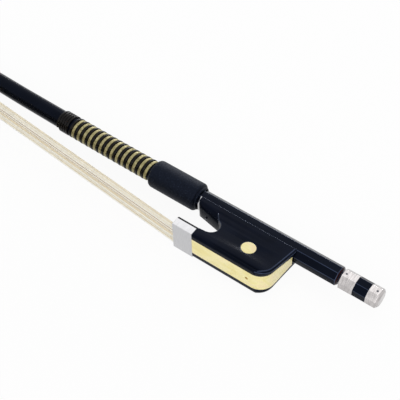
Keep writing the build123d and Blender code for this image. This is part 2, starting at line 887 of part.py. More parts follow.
def main():
    os.makedirs("parts", exist_ok=True)
    write("stick", stick())
    write("tip_liner", tip_liner())
    write("tip_plate", tip_plate())
    write("tip_plug", tip_plug())
    write("hair_tie_tip", hair_tie_tip())
    write("grip", grip())
    gold, gold_path = gold_lapping()
    black, black_path = black_lapping()
    write("wrap_gold", gold)
    write("wrap_black", black)
    black_turns = black_wide_turns + end_turns
    print("gold self gap", round(self_gap(gold_path, gold_wound_turns, gold_width), 2))
    print("black self gap", round(self_gap(black_path, black_turns, black_width), 2))
    write("hair_ribbon", hair_ribbon())
    write("frog_body", frog_body())
    write("ferrule", ferrule())
    write("ferrule_wedge", ferrule_wedge())
    write("slide_plate", slide_solid(slide_thickness, slide_width, slide_top_width) - slide_pin())
    write("slide_backing", slide_backing_solid() - slide_pin())
    write("slide_pin", slide_pin())
    write("frog_plug", frog_plug())
    write("hair_tie_frog", hair_tie_frog())
    write("hair_in_frog", hair_in_frog())
    write("eye_upper", eye(1))
    write("eye_lower", eye(-1))
    lining = underslide()
    for x in underslide_pin_places:
        lining -= underslide_pin(x)
    write("underslide", lining)
    write("underslide_pins", underslide_pins())
    write("eyelet", eyelet())
    write("screw", screw())
    write("button_collar", button_collar())
    write("button_core", button_core())
    write("button_cap", button_cap())
    write("button_pins", button_pins())
    print("moved by", resting_place().position)


main()
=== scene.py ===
# %% [markdown]
# # A cello bow, lying on its side
# This is a full-size cello bow with a black stick, a black frog and golden pearl inlays. The
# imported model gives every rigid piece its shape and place. Finishes could be laid on those pieces
# as they are, but their edges are knife-sharp, and the hair and the lapping are only simple
# stand-ins. So each visible piece gets a surface of its own here: lacquer, moulded resin, nickel
# silver, pearl, rubber, a two-colour lapping and a band of horsehair. Everything is in metres, and
# nothing from the model is moved.

import math

import bmesh
import bpy
from mathutils import Matrix, Vector


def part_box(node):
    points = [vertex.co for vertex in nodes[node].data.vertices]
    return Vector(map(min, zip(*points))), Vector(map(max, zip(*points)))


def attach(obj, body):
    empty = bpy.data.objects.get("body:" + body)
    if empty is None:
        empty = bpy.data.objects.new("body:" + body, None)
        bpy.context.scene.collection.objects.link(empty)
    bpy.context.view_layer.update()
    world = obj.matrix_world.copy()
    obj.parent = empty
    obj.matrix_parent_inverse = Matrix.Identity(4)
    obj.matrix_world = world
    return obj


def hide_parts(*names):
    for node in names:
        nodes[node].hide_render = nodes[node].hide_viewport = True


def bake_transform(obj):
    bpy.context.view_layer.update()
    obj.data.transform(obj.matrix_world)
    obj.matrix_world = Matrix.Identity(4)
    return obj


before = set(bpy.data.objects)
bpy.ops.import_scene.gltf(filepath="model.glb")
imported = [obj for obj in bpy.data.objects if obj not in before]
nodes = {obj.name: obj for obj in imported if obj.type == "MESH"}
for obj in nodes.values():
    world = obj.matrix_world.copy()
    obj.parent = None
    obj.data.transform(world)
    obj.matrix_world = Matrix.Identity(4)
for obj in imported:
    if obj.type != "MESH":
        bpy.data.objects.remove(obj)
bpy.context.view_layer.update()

# %% [markdown]
# ## Places
# The camera, the lamps, the grip, the lapping and the hair all have to meet the model. Their
# places could be typed in, but most of them are read from the boxes of the model's own pieces, so
# that they can't drift away from it.

# %% Places that everything else is measured from
mm = 0.001
ferrule_low, ferrule_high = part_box("ferrule")
button_low, button_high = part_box("button_cap")
grip_low, grip_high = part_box("grip")
axis_y = (button_low.y + button_high.y) / 2
axis_z = (button_low.z + button_high.z) / 2
ferrule_front = Vector((ferrule_low.x, axis_y, axis_z))
print("ferrule front on the handle's axis:", [round(v / mm, 2) for v in ferrule_front])

# %% [markdown]
# ## The view
# The photograph looks down on the frog from its hair side, from about 45 cm away, with a lens of
# medium length. The camera's place and the point it looks at were measured against the frog's
# edges. A track-to constraint could aim it, but writing the three directions out keeps the small
# roll exact.


# %% Camera
def in_scene(name, data):
    """An object that holds this mesh, camera or light, put into the scene."""
    thing = bpy.data.objects.new(name, data)
    bpy.context.scene.collection.objects.link(thing)
    return thing


camera_offset = Vector((173.17, -225.94, 361.04)) * mm
aim_offset = Vector((-1.92, -1.09, 0.0)) * mm
camera_roll = math.radians(2.09)
lens_length = 85.59
sensor_width = 36.0
nearest_seen = 10 * mm

camera_place = ferrule_front + camera_offset
looking = (ferrule_front + aim_offset - camera_place).normalized()
level_right = looking.cross(Vector((0, 0, 1))).normalized()
right = Matrix.Rotation(camera_roll, 3, looking) @ level_right
up = right.cross(looking)
turned = Matrix((right, up, -looking)).transposed().to_4x4()

camera_data = bpy.data.cameras.new("camera")
camera_data.lens = lens_length
camera_data.sensor_width = sensor_width
camera_data.clip_start = nearest_seen
camera = in_scene("camera", camera_data)
camera.matrix_world = Matrix.Translation(camera_place) @ turned
bpy.context.scene.camera = camera
bpy.context.scene.view_settings.view_transform = "Standard"
print("camera", round((ferrule_front - camera_place).length, 3), "m away")

# %% [markdown]
# ## Helpers for finishes
# Every finish and every grown piece is a tree of nodes. Trees can be drawn by hand in the node
# editor, but written out they come out the same each time. One function turns a colour as it looks
# on a screen into the linear values that the renderer works in. One adds a node to any tree, with
# its settings and links. One starts a finish, and one turns a real size into a pattern's scale.


# %% Colour and node helpers
def linear(colour):
    """Linear RGBA from an sRGB hex colour such as #C9C9CC."""
    parts = [int(colour[k : k + 2], 16) / 255 for k in (1, 3, 5)]
    light = [c / 12.92 if c <= 0.04045 else ((c + 0.055) / 1.055) ** 2.4 for c in parts]
    return (*light, 1.0)


def join(tree, node, inputs):
    """Fills sockets, found by name or number: a value is set, and an output or a node is linked."""
    for key, value in inputs.items():
        if isinstance(value, bpy.types.Node):
            value = value.outputs[0]
        if isinstance(value, bpy.types.NodeSocket):
            tree.links.new(value, node.inputs[key])
        else:
            node.inputs[key].default_value = value


def add(tree, kind, inputs=None, steps=(), **settings):
    """Adds a node. steps are a colour ramp's pairs of position and hex colour."""
    made = tree.nodes.new(kind)
    for name, value in settings.items():
        setattr(made, name, value)
    join(tree, made, inputs or {})
    # A new ramp already has two steps.
    for _ in steps[2:]:
        made.color_ramp.elements.new(0.5)
    for k, (position, colour) in enumerate(steps):
        made.color_ramp.elements[k].position = position
        made.color_ramp.elements[k].color = linear(colour)
    return made


def new_finish(name, sockets):
    """A material with one Principled shader, whose plain sockets are set here."""
    material = bpy.data.materials.new(name)
    material.use_nodes = True
    tree = material.node_tree
    shader = tree.nodes["Principled BSDF"]
    join(tree, shader, sockets)
    place = add(tree, "ShaderNodeTexCoord").outputs["Object"]
    return material, tree, shader, place


def scale_for(size):
    """The scale at which one spot or line of a pattern is about this long, in metres."""
    return 1.0 / size


print("white is", linear("#FFFFFF")[:3], "and 1 mm spots need a scale of", scale_for(1 * mm))

# %% Names for node kinds and numbered sockets
# Some sockets share a name with hidden ones of another type, so they are found by number.
maths, mix = "ShaderNodeMath", "ShaderNodeMix"
noise, ramp = "ShaderNodeTexNoise", "ShaderNodeValToRGB"
mix_share, mix_number_a, mix_number_b = 0, 2, 3
mix_colour_a, mix_colour_b, mix_colour_out = 6, 7, 2
random_low, random_high, random_out = 2, 3, 1
print("a colour mix takes sockets", mix_colour_a, "and", mix_colour_b)

# %% [markdown]
# ## Studio
# The bow lies on a plain white table. More light would whiten the table, but it would wash out the
# bow too. Instead a share of the table glows, for the camera and for reflections only, and the
# rest is white card that catches the soft shadow.


# %% Table
def seen_directly(tree):
    """1 where the camera looks, straight or by a reflection or through glass, 0 for plain light."""
    path = add(tree, "ShaderNodeLightPath").outputs
    straight = add(tree, maths, {0: path["Is Camera Ray"], 1: path["Is Glossy Ray"]})
    return add(tree, maths, {0: straight, 1: path["Is Transmission Ray"]})


table_size = 6.0
glow_share = 0.93
half = table_size / 2
table_corners = [(-half, -half, 0), (half, -half, 0), (half, half, 0), (-half, half, 0)]
table_mesh = bpy.data.meshes.new("table")
table_mesh.from_pydata(table_corners, [], [(0, 1, 2, 3)])
table = in_scene("table", table_mesh)

# White card is matt, so it shows the shadow and no reflection of the bow.
card_sockets = {"Base Color": linear("#F4F4F4"), "Roughness": 0.9, "Specular IOR Level": 0.1}
white_card, tree, shader, place = new_finish("white_card", card_sockets)
glowing = add(tree, maths, {0: seen_directly(tree), 1: glow_share}, operation="MULTIPLY")
glow = add(tree, "ShaderNodeEmission", {"Color": linear("#FFFFFF"), "Strength": 1.0})
card = add(tree, "ShaderNodeMixShader", {0: glowing, 1: shader, 2: glow})
join(tree, tree.nodes["Material Output"], {"Surface": card})
table_mesh.materials.append(white_card)
print("table is", table_size, "m wide and glows by", glow_share)

# %% World and lamps
room_light = 0.6
seen_light = 1.0
world = bpy.data.worlds.new("studio")
world.use_nodes = True
tree = world.node_tree
room_sockets = {mix_share: seen_directly(tree), mix_number_a: room_light, mix_number_b: seen_light}
room = add(tree, mix, room_sockets)
join(tree, tree.nodes["Background"], {"Color": linear("#FFFFFF"), "Strength": room})
bpy.context.scene.world = world

# Each lamp has its place, width and height in metres, and its power in watts. All point at the
# frog.
lamps = {
    "key": ((0.1, 0.9, 1.1), 1.5, 1.5, 4.5),
    "strip": ((-0.15, 1.1, 0.2), 1.3, 0.07, 5.0),
    "fill": ((0.9, -1.3, 0.7), 1.5, 1.5, 11.0),
}
for name, (lamp_place, width, height, power) in lamps.items():
    light = bpy.data.lights.new(name, "AREA")
    light.shape = "RECTANGLE"
    light.size = width
    light.size_y = height
    light.energy = power
    lamp = in_scene(name, light)
    lamp.location = lamp_place
    aim = ferrule_front - Vector(lamp_place)
    lamp.rotation_euler = aim.to_track_quat("-Z", "Y").to_euler()
    print(name, "lamp is", round(aim.length, 2), "m away")

# %% [markdown]
# ## Black lacquer
# The stick is a composite tube under black lacquer, polished to a gloss. A flat black would look
# like a hole in the picture, so the lacquer is built from what it really shows: a nearly black
# ground with faint clouds, thin sharp reflections, and polishing marks that break them up. The cut
# end of the handle shows its red-brown core.

# %% Lacquer on the stick
# Polished lacquer is a clear plastic over black. It gives the eye a deep cool black with thin
# bright lines of light along the stick. A low specular level keeps the white room from greying it.
cool_light = linear("#AFC3F5")
cloud_size = 16.67 * mm
# The real marks are finer than a tenth of a millimetre. They are drawn this coarse so that they
# show.
mark_size = 1.111 * mm
# The handle is cut off this far in front of the button's cap.
cut_before_cap = 15.7 * mm
cut_x = button_low.x - cut_before_cap

gloss = {"Specular IOR Level": 0.1, "Specular Tint": cool_light}
lacquer, tree, shader, place = new_finish("black_lacquer", gloss)
cloud = add(tree, noise, {"Vector": place, "Scale": scale_for(cloud_size), "Detail": 3.0})
ground = add(tree, ramp, {0: cloud}, steps=[(0.3, "#030409"), (0.75, "#070A13")])
along = add(tree, "ShaderNodeSeparateXYZ", {0: place})
past_cut = add(tree, maths, {0: along, 1: cut_x}, operation="GREATER_THAN")
core = {mix_share: past_cut, mix_colour_a: ground, mix_colour_b: linear("#2A1512")}
paint = add(tree, mix, core, data_type="RGBA").outputs[mix_colour_out]
marks = add(tree, noise, {"Vector": place, "Scale": scale_for(mark_size), "Detail": 2.0})
rough = add(tree, "ShaderNodeMapRange", {"Value": marks, "To Min": 0.12, "To Max": 0.22})
join(tree, shader, {"Base Color": paint, "Roughness": rough})
print("the handle's cut end is at", round(cut_x / mm, 1), "mm")

# %% [markdown]
# ## Moulded frog
# The frog and the button's barrel are black resin, moulded and lightly polished. The stick's
# lacquer could serve here too, but the real resin is a little softer in its shine and has a fine
# mottle left by the mould, so it gets a finish of its own.

# %% Resin of the frog
# Moulded resin gives the eye an even bluish black with soft-edged reflections. The real mottle is
# about a tenth of these sizes. It is drawn this coarse so that it shows.
cloud_size = 7.143 * mm
mottle_size = 0.8333 * mm
mottle_height = 0.02 * mm

gloss = {"Specular IOR Level": 0.08, "Specular Tint": cool_light}
resin, tree, shader, place = new_finish("moulded_black_resin", gloss)
cloud = add(tree, noise, {"Vector": place, "Scale": scale_for(cloud_size), "Detail": 4.0})
ground = add(tree, ramp, {0: cloud}, steps=[(0.3, "#04060D"), (0.75, "#080C18")])
rough = add(tree, "ShaderNodeMapRange", {"Value": cloud, "To Min": 0.22, "To Max": 0.29})
mottle = add(tree, noise, {"Vector": place, "Scale": scale_for(mottle_size), "Detail": 2.0})
relief = {"Strength": 0.05, "Distance": mottle_height, "Height": mottle}
bump = add(tree, "ShaderNodeBump", relief)
join(tree, shader, {"Base Color": ground, "Roughness": rough, "Normal": bump})
print("resin mottle is", round(mottle_size / mm, 2), "mm across")

# %% [markdown]
# ## Polished edges, with a painted highlight
# Handling and buffing reach the edges of the frog and the handle first, and leave them shinier than
# the flats. Their lighter, greyer colour is a painted highlight for the light that the edges catch.
# It could be painted along each edge by a mask, but the small bevel of a softened piece already
# lies exactly there, so the bevel gets this finish.

# %% Edges of the black pieces
# Buffed resin or lacquer is shinier along each edge, and its colour is lighter there: a thin line
# of painted highlight along each edge.
wear_and_highlight_size = 8.333 * mm

gloss = {"Roughness": 0.22, "Specular IOR Level": 0.4, "Specular Tint": cool_light}
polished_edge_painted_highlight, tree, shader, place = new_finish("polished_black_edge_painted_highlight", gloss)
wear_and_painted_highlight = add(tree, noise, {"Vector": place, "Scale": scale_for(wear_and_highlight_size), "Detail": 3.0})
# Both greys are lighter than the flats. This is the painted highlight, and the noise breaks it up
# along the edge.
ground = add(tree, ramp, {0: wear_and_painted_highlight}, steps=[(0.3, "#141926"), (0.7, "#2C3447")])
join(tree, shader, {"Base Color": ground})
print("edge wear comes and goes every", round(wear_and_highlight_size / mm, 1), "mm")

# %% [markdown]
# ## Grip rubber
# The thumb grip is soft rubber, moulded with a pebbled skin. Real pebbles in the mesh would take a
# million triangles, so a Voronoi pattern of cells about 0.45 mm across lifts the surface instead,
# with an uneven grain over it. The crests of the grain are coloured a lighter grey, a painted
# highlight for the light they catch.

# %% Rubber of the thumb grip
# Moulded rubber gives the eye a dull black with no sharp reflection. The grain's crests are a
# lighter grey, which is painted highlight.
pebble_size = 0.4545 * mm
grain_size = 0.6667 * mm
pebble_height = 0.12 * mm

gloss = {"Roughness": 0.5, "Specular IOR Level": 0.14, "Specular Tint": cool_light}
rubber, tree, shader, place = new_finish("pebbled_rubber", gloss)
cells = {"Vector": place, "Scale": scale_for(pebble_size)}
pebbles = add(tree, "ShaderNodeTexVoronoi", cells).outputs["Distance"]
grain = add(tree, noise, {"Vector": place, "Scale": scale_for(grain_size), "Detail": 4.0})
height = add(tree, maths, {0: pebbles, 1: grain})
# The lightest tone falls where the grain is high, on the crests the bump raises: a painted
# highlight.
tones = [(0.35, "#0A0D14"), (0.6, "#11151E"), (0.72, "#242A36")]
ground = add(tree, ramp, {0: grain}, steps=tones)
bump = add(tree, "ShaderNodeBump", {"Strength": 0.6, "Distance": pebble_height, "Height": height})
join(tree, shader, {"Base Color": ground, "Normal": bump})
print("pebbles are", round(pebble_size / mm, 2), "mm across")

# %% [markdown]
# ## Metals
# Ferrule, underslide and button are nickel silver, a grey copper alloy. The ferrule is polished
# and worn to a soft shine, the underslide has a satin face and the button's sleeves are brighter.
# The slide's pin and the eyelet are turned brass, and the screw and the other pins are turned
# steel. All were brushed or turned, which leaves scratches across the bow. Each could be its own
# tree, but only colours and sizes differ, so one function makes them all from a noise that is long
# across the bow and short along it.


# %% Metal finishes
def brushed_metal(name, dark, pale, roughness, stretch, bump_height):
    """A metal brushed across the bow. stretch is how much longer a scratch is than wide."""
    # The real scratches are hundredths of a millimetre wide. They are drawn this coarse so that
    # they show.
    scratch_length = 3.846 * mm
    shinier, duller = 0.06, 0.08
    metal, tree, shader, place = new_finish(name, {"Metallic": 1.0})
    squeezed = add(tree, "ShaderNodeMapping", {"Vector": place, "Scale": (stretch, 1.0, 1.0)})
    lines = {"Vector": squeezed, "Scale": scale_for(scratch_length), "Detail": 5.0}
    scratches = add(tree, noise, lines)
    ground = add(tree, ramp, {0: scratches}, steps=[(0.3, dark), (0.7, pale)])
    spread = {"Value": scratches, "To Min": roughness - shinier, "To Max": roughness + duller}
    rough = add(tree, "ShaderNodeMapRange", spread)
    relief = {"Strength": 0.25, "Distance": bump_height, "Height": scratches}
    bump = add(tree, "ShaderNodeBump", relief)
    join(tree, shader, {"Base Color": ground, "Roughness": rough, "Normal": bump})
    return metal


# Satin nickel silver gives the eye a broad pale sheen, with no clear reflection.
satin = ("#BEBEC0", "#D0D0D1", 0.4, 14.0, 0.02 * mm)
satin_nickel = brushed_metal("satin_nickel_silver", *satin)
# Bright nickel silver is warmer and darker, with livelier lights round the sleeves.
bright = ("#A5A1A1", "#CDC9C8", 0.2, 10.0, 0.01 * mm)
bright_nickel = brushed_metal("bright_nickel_silver", *bright)
# Turned brass is a dull gold.
old_brass = brushed_metal("turned_brass", "#8A6A24", "#C9A24A", 0.35, 3.0, 0.01 * mm)
# Turned steel is dark grey with fine rings of light.
turned_steel = brushed_metal("turned_steel", "#3A3B40", "#6A6C72", 0.3, 20.0, 0.01 * mm)
# Polished nickel silver is an even pale grey, a little clearer than satin.
polished = ("#BBBBBD", "#CBCBCD", 0.3, 14.0, 0.008 * mm)
polished_nickel = brushed_metal("polished_nickel_silver", *polished)
for metal in (satin_nickel, bright_nickel, old_brass, turned_steel, polished_nickel):
    print(metal.name, "has", len(metal.node_tree.nodes), "nodes")

# %% [markdown]
# ## Painted dark reflection on the corners
# Down the ferrule's two corners on the stick's side the metal reads as a dark line, where it
# mirrors the black stick. It could come from a reflection alone, but at this size that is too thin
# to see, so that dark reflection is painted onto the corners as a black finish.

# %% Finish of the corners' painted dark reflection
# A painted dark reflection of the stick gives the eye a dull uneven black beside the pale metal.
reflection_mottle_size = 2.5 * mm

dull = {"Roughness": 0.55, "Specular IOR Level": 0.1}
corner_painted_reflection, tree, shader, place = new_finish("painted_reflection_corner", dull)
# The noise makes the painted reflection uneven.
reflection_mottle = add(tree, noise, {"Vector": place, "Scale": scale_for(reflection_mottle_size), "Detail": 3.0})
ground = add(tree, ramp, {0: reflection_mottle}, steps=[(0.3, "#07070A"), (0.7, "#15161B")])
join(tree, shader, {"Base Color": ground})
print("tarnish spots are", round(reflection_mottle_size / mm, 1), "mm across")

# %% [markdown]
# ## Pearl
# The slide and the eyes are golden mother-of-pearl, ground flat and polished. Thin layers of shell
# give it a pale yellow ground with soft pinkish and greenish clouds. A thin-film shader could draw
# them, but its colours turn with the angle and are lost in a bake. So the clouds are a noise drawn
# out along the shell, under a wet clear coat.

# %% Golden pearl
# Polished pearl gives the eye a creamy yellow that is never quite even, and a soft wet shine.
cloud_size = 4.545 * mm
cloud_squeeze = 0.35
cloud_height = 0.05 * mm

shine = {"Roughness": 0.28, "Coat Weight": 0.25, "Coat Roughness": 0.1}
pearl, tree, shader, place = new_finish("golden_pearl", shine)
drawn = add(tree, "ShaderNodeMapping", {"Vector": place, "Scale": (cloud_squeeze, 1.0, 1.0)})
layers = {"Vector": drawn, "Scale": scale_for(cloud_size), "Detail": 3.0, "Distortion": 1.2}
wave = add(tree, noise, layers)
tones = [(0.25, "#E6D788"), (0.42, "#EDE09A"), (0.55, "#F1E6AA")]
tones += [(0.68, "#F0DBA8"), (0.85, "#E3DA96")]
ground = add(tree, ramp, {0: wave}, steps=tones)
bump = add(tree, "ShaderNodeBump", {"Strength": 0.08, "Distance": cloud_height, "Height": wave})
join(tree, shader, {"Base Color": ground, "Normal": bump})
print("pearl clouds are", round(cloud_size / mm, 1), "mm across")

# %% [markdown]
# ## Wood, bone-white plate and thread
# Inside the frog and the head sit small maple plugs, and waxed linen thread binds the ends of the
# hair. The head ends in a thin black liner and a white face plate. Wood and bone are cut along
# their fibres, and thread lies wound, so all four show fine lines. Rings could be modelled for the
# wood, but the plugs are a few millimetres long, so a stretched noise is enough for each of them.


# %% Small parts' finishes
def grained(name, dark, pale, grain_width, stretch, roughness):
    """Wood, bone or thread: a noise stretched along the bow, or across it if stretch is under 1."""
    grain_height = 0.03 * mm
    wood, tree, shader, place = new_finish(name, {"Roughness": roughness})
    drawn = add(tree, "ShaderNodeMapping", {"Vector": place, "Scale": (1.0 / stretch, 1.0, 1.0)})
    rings = add(tree, noise, {"Vector": drawn, "Scale": scale_for(grain_width), "Detail": 4.0})
    ground = add(tree, ramp, {0: rings}, steps=[(0.35, dark), (0.65, pale)])
    relief = {"Strength": 0.15, "Distance": grain_height, "Height": rings}
    bump = add(tree, "ShaderNodeBump", relief)
    join(tree, shader, {"Base Color": ground, "Normal": bump})
    return wood


# Planed maple gives the eye a pale honey brown with soft lines.
maple = grained("maple", "#B98F5C", "#D9B988", 1.111 * mm, 12.0, 0.5)
# Ebony is so dense that its lines hardly show in the black.
ebony = grained("ebony", "#0B0B0E", "#1A1A20", 1.111 * mm, 10.0, 0.35)
# Polished bone-white plate is creamy, with faint long streaks.
face_white = grained("bone_white_plate", "#E4E0D2", "#F2EFE6", 1.429 * mm, 8.0, 0.35)
# Waxed linen is a dull straw, with its threads lying across the hair.
linen = grained("waxed_linen", "#8E7A58", "#CDBB93", 0.3333 * mm, 0.1, 0.7)
print("small finishes:", maple.name, ebony.name, face_white.name, linen.name)

# %% [markdown]
# ## Rigid pieces
# The model's own pieces already have the right shape, but their edges are knife-sharp, and no made
# thing has an edge that doesn't catch light. They could be drawn again by hand, with less
# accuracy. So each piece that shows gets a copy instead. Its loose triangles are merged, flat
# areas joined, and a small Bevel modifier rounds what is left sharp. The copy then stands for the
# model's piece, which stays hidden for the physics.


# %% Copies with softened edges
def made_plain(piece):
    """Applies a piece's modifiers, so that it is a plain mesh."""
    graph = bpy.context.evaluated_depsgraph_get()
    seen = piece.evaluated_get(graph)
    mesh = bpy.data.meshes.new_from_object(seen, preserve_all_data_layers=True, depsgraph=graph)
    piece.modifiers.clear()
    piece.data = mesh
    return piece


def triangles(piece):
    """How many triangles a piece has once its faces are cut into them."""
    return sum(len(face.vertices) - 2 for face in piece.data.polygons)


merge_distance = 0.002 * mm
flat_angle = math.radians(0.4)
sharp_angle = math.radians(35.0)
bevel_segments = 2


def softened(node, bevel, finish, edge_finish=None):
    """A copy of a model's piece with its edges rounded by a bevel in millimetres."""
    shape = bmesh.new()
    shape.from_mesh(nodes[node].data)
    bmesh.ops.remove_doubles(shape, verts=shape.verts, dist=merge_distance)
    bmesh.ops.dissolve_limit(shape, angle_limit=flat_angle, verts=shape.verts, edges=shape.edges)
    mesh = bpy.data.meshes.new(node + "_surface")
    shape.to_mesh(mesh)
    shape.free()
    mesh.shade_smooth()
    mesh.set_sharp_from_angle(angle=sharp_angle)
    piece = in_scene(node + "_surface", mesh)
    rounding = piece.modifiers.new("rounding", "BEVEL")
    rounding.width = bevel * mm
    rounding.segments = bevel_segments
    rounding.limit_method = "ANGLE"
    rounding.angle_limit = sharp_angle
    rounding.harden_normals = True
    # The clamp would shrink every bevel of a piece to suit its shortest edge, so it is off.
    rounding.use_clamp_overlap = False
    mesh.materials.clear()
    mesh.materials.append(finish)
    if edge_finish:
        mesh.materials.append(edge_finish)
        rounding.material = 1
    for face in mesh.polygons:
        face.material_index = 0
    return made_plain(piece)


print("edges sharper than", round(math.degrees(sharp_angle)), "degrees are rounded")

# %% The pieces that show
# Each has its body, its bevel in millimetres, its finish and its material slot.
surfaces = {
    "stick": ("stick", 0.2, lacquer, "stick_black"),
    "tip_liner": ("stick", 0.08, ebony, "ebony_black"),
    "tip_plate": ("stick", 0.15, face_white, "tip_white"),
    "frog_body": ("frog", 0.28, resin, "frog_black"),
    "ferrule": ("frog", 0.12, polished_nickel, "nickel_silver"),
    "slide_plate": ("frog", 0.1, pearl, "pearl_gold"),
    "eye_upper": ("frog", 0.12, pearl, "pearl_gold"),
    "eye_lower": ("frog", 0.12, pearl, "pearl_gold"),
    "underslide": ("frog", 0.05, satin_nickel, "nickel_silver"),
    "button_collar": ("button", 0.12, bright_nickel, "nickel_silver"),
    "button_core": ("button", 0.15, resin, "ebony_black"),
    "button_cap": ("button", 0.15, bright_nickel, "nickel_silver"),
}
# The bevels of these pieces get the edge finish with the painted highlight.
worn_edges_painted_highlight = {"stick": polished_edge_painted_highlight, "frog_body": polished_edge_painted_highlight, "button_core": polished_edge_painted_highlight}
corner_width = 1.9 * mm
corner_depth = 1.75 * mm


def paint_reflection_on_corners(piece):
    """Gives the ferrule's two corners on the stick's side the painted dark reflection of the stick.
    """
    piece.data.materials.append(corner_painted_reflection)
    reached = []
    for face in piece.data.polygons:
        from_middle = abs(face.center.z - axis_z)
        on_corner = from_middle > ferrule_high.z - axis_z - corner_width
        if on_corner and face.center.y > ferrule_high.y - corner_depth:
            face.material_index = 1
            reached.append(face.index)
    print("blackened faces:", len(reached))


made = {}
for node, (body, bevel, finish, slot_name) in surfaces.items():
    made[node] = softened(node, bevel, finish, worn_edges_painted_highlight.get(node))
    if node == "ferrule":
        # The ferrule's corners on the stick's side get the painted dark reflection.
        paint_reflection_on_corners(made[node])
    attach(made[node], body)
    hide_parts(node)
    print(node, triangles(made[node]), "triangles")

# %% [markdown]
# ## Pieces that stay as they are
# Pins, plugs, the screw and its eyelet are plain turned or cut shapes, mostly hidden inside. They
# could be copied and bevelled like the rest, but no view would show it. They keep the model's mesh
# and only take a finish, which goes into the material slot that each already has.

# %% Finishes on the model's own pieces
plain_pieces = {
    "tip_plug": maple,
    "frog_plug": maple,
    "ferrule_wedge": maple,
    "hair_tie_tip": linen,
    "hair_tie_frog": linen,
    "slide_backing": ebony,
    "slide_pin": old_brass,
    "underslide_pins": turned_steel,
    "eyelet": old_brass,
    "screw": turned_steel,
    "button_pins": turned_steel,
}
for node, finish in plain_pieces.items():
    for material_slot in nodes[node].material_slots:
        material_slot.material = finish
    print(node, "is", finish.name)

# %% [markdown]
# ## Thumb grip
# The grip is one moulded rubber sleeve with well rounded ends, and a thin lip where it meets the
# frog. A cylinder with bevels could stand for it, but its two ends are rounded differently. It is
# round, so its outline is drawn once and spun about the stick. Each rounded corner is a few points
# on an arc, and spinning a closed outline gives the bore and the ends as well.


# %% Spun sleeve
def rounded_corner(centre_x, centre_r, radius, start, end, steps=8):
    """Points on a corner's arc: place along the stick, distance from its axis. Degrees."""
    turns = [math.radians(start + (end - start) * k / steps) for k in range(steps + 1)]
    return [(centre_x + radius * math.cos(a), centre_r + radius * math.sin(a)) for a in turns]


def spun(name, outline, count=72, crease=40):
    """Spins a closed outline of (place along x, distance from the axis) about the handle's axis."""
    shape = bmesh.new()
    rows = []
    for k in range(count):
        angle = 2 * math.pi * k / count
        ring = [(x, axis_y + r * math.cos(angle), axis_z + r * math.sin(angle)) for x, r in outline]
        rows.append([shape.verts.new(point) for point in ring])
    for k in range(count):
        this, after = rows[k], rows[(k + 1) % count]
        for j in range(len(outline)):
            nxt = (j + 1) % len(outline)
            shape.faces.new((this[j], this[nxt], after[nxt], after[j]))
    bmesh.ops.recalc_face_normals(shape, faces=shape.faces)
    mesh = bpy.data.meshes.new(name)
    shape.to_mesh(mesh)
    shape.free()
    mesh.shade_smooth()
    mesh.set_sharp_from_angle(angle=math.radians(crease))
    return in_scene(name, mesh)


grip_wall = 2.24 * mm
lip_wall = 0.89 * mm
lip_length = 1.1 * mm
front_round = 2.1 * mm
lip_round = 0.35 * mm
grip_radius = (grip_high.y - grip_low.y) / 2
grip_bore = grip_radius - grip_wall
lip_radius = grip_bore + lip_wall
back_round = grip_radius - lip_radius
front_x = grip_low.x + front_round
back_x = grip_high.x - lip_length - back_round
lip_x = grip_high.x - lip_round

outline = [(grip_low.x, grip_bore)]
outline += rounded_corner(front_x, grip_radius - front_round, front_round, 180, 90)
outline += rounded_corner(back_x, lip_radius, back_round, 90, 0)
outline += rounded_corner(lip_x, lip_radius - lip_round, lip_round, 90, 0, steps=4)
outline += [(grip_high.x, grip_bore)]
sleeve = spun("thumb_grip", outline)
sleeve.data.materials.append(rubber)
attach(sleeve, "stick")
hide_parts("grip")
print("grip", triangles(sleeve), "triangles, radius", round(grip_radius / mm, 2), "mm")

# %% [markdown]
# ## Geometry Nodes helpers
# The lapping winds round the stick and the hair runs along it, many times over. Loops in Python
# could place every point, but both follow a rule, so both are grown by Geometry Nodes, where the
# rule stays in view. A tree has named inputs for its sizes. Its result is made a plain mesh
# straight away, because the physics and the export want plain meshes.


# %% Trees with named inputs
def new_growth(name, sizes):
    """A geometry tree with one named input for each size, and one for the finish."""
    tree = bpy.data.node_groups.new(name, "GeometryNodeTree")
    for key, value in sizes.items():
        kind = "NodeSocketInt" if isinstance(value, int) else "NodeSocketFloat"
        tree.interface.new_socket(key, in_out="INPUT", socket_type=kind)
    tree.interface.new_socket("Finish", in_out="INPUT", socket_type="NodeSocketMaterial")
    tree.interface.new_socket("Piece", in_out="OUTPUT", socket_type="NodeSocketGeometry")
    return tree, add(tree, "NodeGroupInput").outputs


def grown(name, tree, sizes, finish, start_mesh=None):
    """Runs a tree with these sizes, on a mesh if it needs one, and returns a plain piece."""
    piece = in_scene(name, start_mesh or bpy.data.meshes.new(name))
    growth = piece.modifiers.new("growth", "NODES")
    growth.node_group = tree
    for item in tree.interface.items_tree:
        if item.in_out == "INPUT" and item.socket_type != "NodeSocketGeometry":
            growth[item.identifier] = finish if item.name == "Finish" else sizes[item.name]
    return made_plain(piece)


print("a whole number becomes a whole-number input, any other a decimal one")

# %% [markdown]
# ## Lapping
# Two strands are wound side by side on the shaft: a flat gilt tinsel and a rounder black one. At
# the front the black one ends in five close turns. A Screw modifier could wind a strand, but not
# one whose pitch closes up and whose axis bends with the stick. So a line of points is bent into
# the helix by arithmetic on its own length, and a small rounded section is swept along it. The
# section has to keep its flat side on the stick, so the curve's normal points straight away from
# the stick's axis.

# %% Sizes of a wound strand
wind_sizes = {
    "Turns": 14.0,
    "Points per turn": 40,
    "Back end": 0.2,
    "Pitch": 3.64 * mm,
    "Wide turns": 14.0,
    "Close pitch": 1.5 * mm,
    "Wind radius": 5.2 * mm,
    "Strand width": 1.55 * mm,
    "Strand height": 0.55 * mm,
    "Edge radius": 0.22 * mm,
    "Camber start": 0.2,
    "Camber radius": 3.348,
    "Axis Y": 0.0,
    "Axis Z": 0.0,
}
wind, given = new_growth("wound_strand", wind_sizes)
print("sizes of a strand:", len(wind_sizes))

